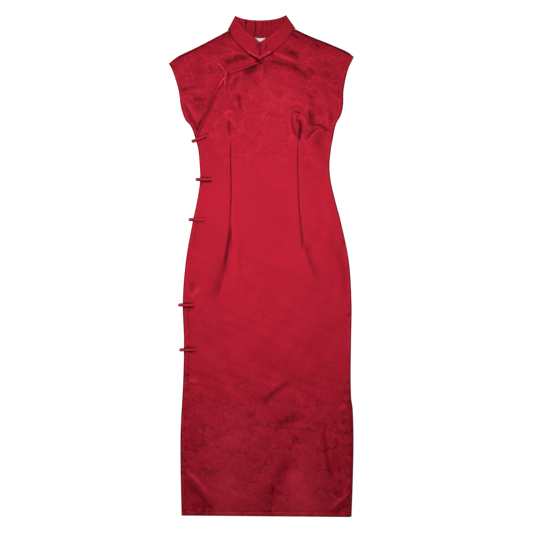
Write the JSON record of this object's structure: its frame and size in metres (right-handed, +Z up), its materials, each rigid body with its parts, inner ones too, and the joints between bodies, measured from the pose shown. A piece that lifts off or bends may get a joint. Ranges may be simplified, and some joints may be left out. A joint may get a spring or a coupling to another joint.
{
  "type": "cheongsam dress",
  "caption": "Long fitted cheongsam dress in deep red jacquard satin, laid flat, with a stand collar, cap sleeves, a curved side opening and knotted frogs.",
  "frame": {"origin": "on the surface the dress lies on, under the middle of its length and width", "axes": "+X across the dress (the wearer's left), +Y up the dress to the collar, +Z up from the surface"},
  "size_m": [0.472, 1.2776, 0.0149],
  "materials": {
    "satin": "tone-on-tone jacquard satin",
    "cord": "satin-covered cord",
    "label": "plain white woven tape"
  },
  "bodies": {
    "root": {"back_panel": "satin", "front_underflap": "satin", "front_panel": "satin", "collar": "satin", "neck_label": "label", "frog_neck_knot": "cord", "frog_neck_loop": "cord", "frog_chest_knot": "cord", "frog_chest_loop": "cord", "frog_underarm_knot": "cord", "frog_underarm_loop": "cord", "frog_waist_knot": "cord", "frog_waist_loop": "cord", "frog_hip_knot": "cord", "frog_hip_loop": "cord", "frog_thigh_knot": "cord", "frog_thigh_loop": "cord", "frog_slit_knot": "cord", "frog_slit_loop": "cord"}
  },
  "joints": []
}
